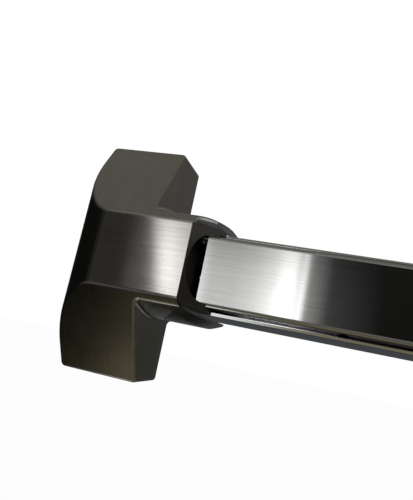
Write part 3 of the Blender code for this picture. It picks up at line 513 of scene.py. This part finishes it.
AREAS = [  # what it is, its limits and its colour
    ("back wall", [("behind", 0.55, 0.95), ("above", -0.6, 0.05)], WALL_COLOUR),
    ("side wall", [("right", 0.10, 0.38), ("behind", 0.4, 0.8)], SIDE_COLOUR),
    ("upper side wall", [("right", 0.0, 0.4), ("behind", 0.6, 0.8), ("above", 0.0, 0.2)], UPPER_SIDE_COLOUR),
    ("window", [("right", 0.72, 0.82), ("behind", 0.1, 0.35), ("above", 0.02, 0.22)], WINDOW_COLOUR),
    ("front left", [("left", 0.30, 0.50), ("left", 0.80, 0.62), ("front", 0.5, 0.8)], FRONT_LEFT_COLOUR),
    ("gleam", [("below", 0.90, 0.94), ("back left", 0.30, 0.42)], GLEAM_COLOUR),
]
for name, limits, colour in AREAS:
    painted = area(*limits).mix(painted, colour)
    print("painted:", name)

# %% [markdown]
# ### Glows on the rolled edges
# The pad's long edges and the rail's lips are rolled, and a roll shows a narrow stripe of nearly everything
# above or below. Two faint bands, one low and one high, give those stripes something to show. They are kept
# to the right and the front, since on the left they would draw lines along the cover's bend.

# %% Glows on the rolled edges
LOW_GLOW = rgb(0.18, 0.18, 0.176)
HIGH_GLOW = rgb(0.30, 0.30, 0.295)

from_right = area(("right", 0.0, 0.2))
right_or_front = from_right.maths("MAXIMUM", from_right, area(("front", 0.50, 0.70)))
low_band = area(("below", 0.20, 0.30), ("below", 0.66, 0.58), ("right", -1.3, 0.3))
low_band = low_band * (1 - area(("behind", 0.30, 0.45), ("right", 0.35, 0.20)))
high_band = area(("above", 0.44, 0.54), ("above", 0.79, 0.70), ("right", 1.2, -0.4))
painted = (low_band * right_or_front).mix(painted, LOW_GLOW)
painted = (high_band * right_or_front).mix(painted, HIGH_GLOW)
world.node_tree.links.new(painted.socket, world.node_tree.nodes["Background"].inputs["Color"])
print("room from", len(world.node_tree.nodes), "nodes")

# %% [markdown]
# ## The studio
# What stands in the studio is mostly flat cards. A card's own glow is steadier than a lamp on a white card,
# so each is a rectangle with an emission material.


# %% Stage pieces
def stand_in_studio(name, corners, material):
    mesh = bpy.data.meshes.new(name)
    mesh.from_pydata(corners, [], [(0, 1, 2, 3)])
    mesh.materials.append(material)
    made = bpy.data.objects.new(name, mesh)
    bpy.context.scene.collection.objects.link(made)
    print("on stage:", name)
    return made


def upright_card(left, right_end, low, high, depth):
    """The corners of a card that faces along Y."""
    return [(left, depth, low), (right_end, depth, low), (right_end, depth, high), (left, depth, high)]


def hide_from(piece, *rays):
    for ray in rays:
        setattr(piece, "visible_" + ray, False)


# %% Glowing materials
def glow_material(name, strength, colour_at=None):
    """A material that glows, all over alike unless colour_at(point) gives its colour."""
    material = bpy.data.materials.new(name)
    material.use_nodes = True
    tree = material.node_tree
    tree.nodes.clear()
    colour = colour_at(place_on(tree)) if colour_at else WHITE
    light = Wire(tree).node("ShaderNodeEmission", None, {"Color": colour, "Strength": strength})
    light.node("ShaderNodeOutputMaterial", None, {"Surface": light})
    print("glow:", name, "at", strength)
    return material


# %% [markdown]
# ## The front panel
# One tall soft panel stands in front and to the left. The band and the pad are flat and face it, so each
# shows a different strip of it: the left strip lights the band, and the right strip runs along the pad, up
# to a sharp edge where the pad turns dark. A ramp along the panel holds that profile. The left edge leans,
# and the top is dimmer, so that the bends above stay quiet.

# %% The panel's light
PANEL_LEFT = -0.40
PANEL_RIGHT = 0.30
PANEL_PROFILE = [  # metres along the panel and how bright it is there
    (-0.345, 3.0), (-0.285, 3.0), (-0.25, 1.9), (-0.17, 0.82), (-0.10, 0.84), (-0.04, 1.05),
    (0.012, 1.5), (0.040, 2.1), (0.070, 2.2), (0.079, 1.30), (0.084, 1.30), (0.090, 2.0), (0.101, 1.7),
    (0.104, 0.36), (0.140, 0.22), (0.168, 0.06), (0.30, 0.01),
]
BRIGHTEST = max(value for _, value in PANEL_PROFILE)
SLANT = 0.31  # metres that the left edge moves for each metre up
SLANT_HEIGHT = 0.08  # where the leaning edge crosses its plain place
LEFT_EDGE = (-0.305, -0.287)  # metres along the panel over which the light comes up
BEYOND_EDGE = 0.04  # what is left of the light outside the edge
TOP_FADE = (0.11, 0.30)  # metres up over which the light falls off
TOP_LOSS = 0.82  # the share of the light that is gone above them


def panel_colour(point):
    across = part_of(point, X)
    up = part_of(point, Z)
    width = PANEL_RIGHT - PANEL_LEFT
    stops = [((x - PANEL_LEFT) / width, grey(value / BRIGHTEST)) for x, value in PANEL_PROFILE]
    profile = point.node("ShaderNodeValToRGB", {"stops": stops}, {0: across.between(PANEL_LEFT, PANEL_RIGHT)})
    edge = (across + (up - SLANT_HEIGHT) * SLANT).between(*LEFT_EDGE) * (1 - BEYOND_EDGE) + BEYOND_EDGE
    return (profile * edge * (1 - up.between(*TOP_FADE) * TOP_LOSS)).mix(BLACK, WHITE)


panel_glow = glow_material("panel_glow", BRIGHTEST, panel_colour)

# %% The panel
PANEL_DEPTH = -1.0
PANEL_LOW = -0.12
PANEL_HIGH = 0.6

panel_corners = upright_card(PANEL_LEFT, PANEL_RIGHT, PANEL_LOW, PANEL_HIGH, PANEL_DEPTH)
panel = stand_in_studio("front_panel", panel_corners, panel_glow)
hide_from(panel, "camera")

# %% [markdown]
# ## The black flag
# Between the cover's end and the pad there is a slot. Without a card in it the pad's square end would catch
# stray light from the rail. The flag is black, and only reflections can see it.

# %% The black flag
FLAG_LEFT = 0.036
FLAG_RIGHT = 0.0712
FLAG_HALF = 0.031
FLAG_DEPTH = -0.0556

flag_corners = upright_card(FLAG_LEFT, FLAG_RIGHT, -FLAG_HALF, FLAG_HALF, FLAG_DEPTH)
flag = stand_in_studio("flag", flag_corners, glow_material("flag_black", 0.0))
hide_from(flag, "camera", "diffuse", "transmission", "shadow")

# %% [markdown]
# ## The fill lamp
# The dark plastic and the rubber are not mirrors and need some light of their own. A soft square lamp from
# the upper right front does that. It is hidden from reflections, so it leaves the metal as it is.

# %% The fill lamp
FILL_WATTS = 12.0
FILL_SIZE = 0.8
FILL_PLACE = Vector((0.9, -0.9, 1.0))

fill_data = bpy.data.lights.new("fill", "AREA")
fill_data.energy = FILL_WATTS
fill_data.size = FILL_SIZE
fill = bpy.data.objects.new("fill", fill_data)
fill.matrix_world = Matrix.Translation(FILL_PLACE) @ FILL_PLACE.to_track_quat("Z", "Y").to_matrix().to_4x4()
hide_from(fill, "glossy")
bpy.context.scene.collection.objects.link(fill)
print("fill lamp at", tuple(FILL_PLACE))

# %% [markdown]
# ## Backdrop and floor
# The device is shown on plain white, so a wide dome is the backdrop and a pale card below is the floor. Both
# are seen by the camera only: what the metal mirrors is the dim room, not the white.

# %% The backdrop
DOME_RADIUS = 30.0
DOME_DIVISIONS = 4

dome_mesh = bpy.data.meshes.new("backdrop")
shape = bmesh.new()
bmesh.ops.create_icosphere(shape, subdivisions=DOME_DIVISIONS, radius=DOME_RADIUS)
shape.to_mesh(dome_mesh)
shape.free()
dome_mesh.materials.append(glow_material("backdrop_white", 1.0))
dome = bpy.data.objects.new("backdrop", dome_mesh)
bpy.context.scene.collection.objects.link(dome)

# %% The floor
FLOOR_DEPTH = 0.5  # metres below the bar
FLOOR_REACH = 8.0
FLOOR_GLOW = 0.98

floor_corners = [
    (x * FLOOR_REACH, y * FLOOR_REACH, -FLOOR_DEPTH) for x, y in ((-1, -1), (1, -1), (1, 1), (-1, 1))
]
floor = stand_in_studio("floor", floor_corners, glow_material("floor_pale", FLOOR_GLOW))
for pale in (dome, floor):
    hide_from(pale, "glossy", "diffuse", "transmission", "shadow")
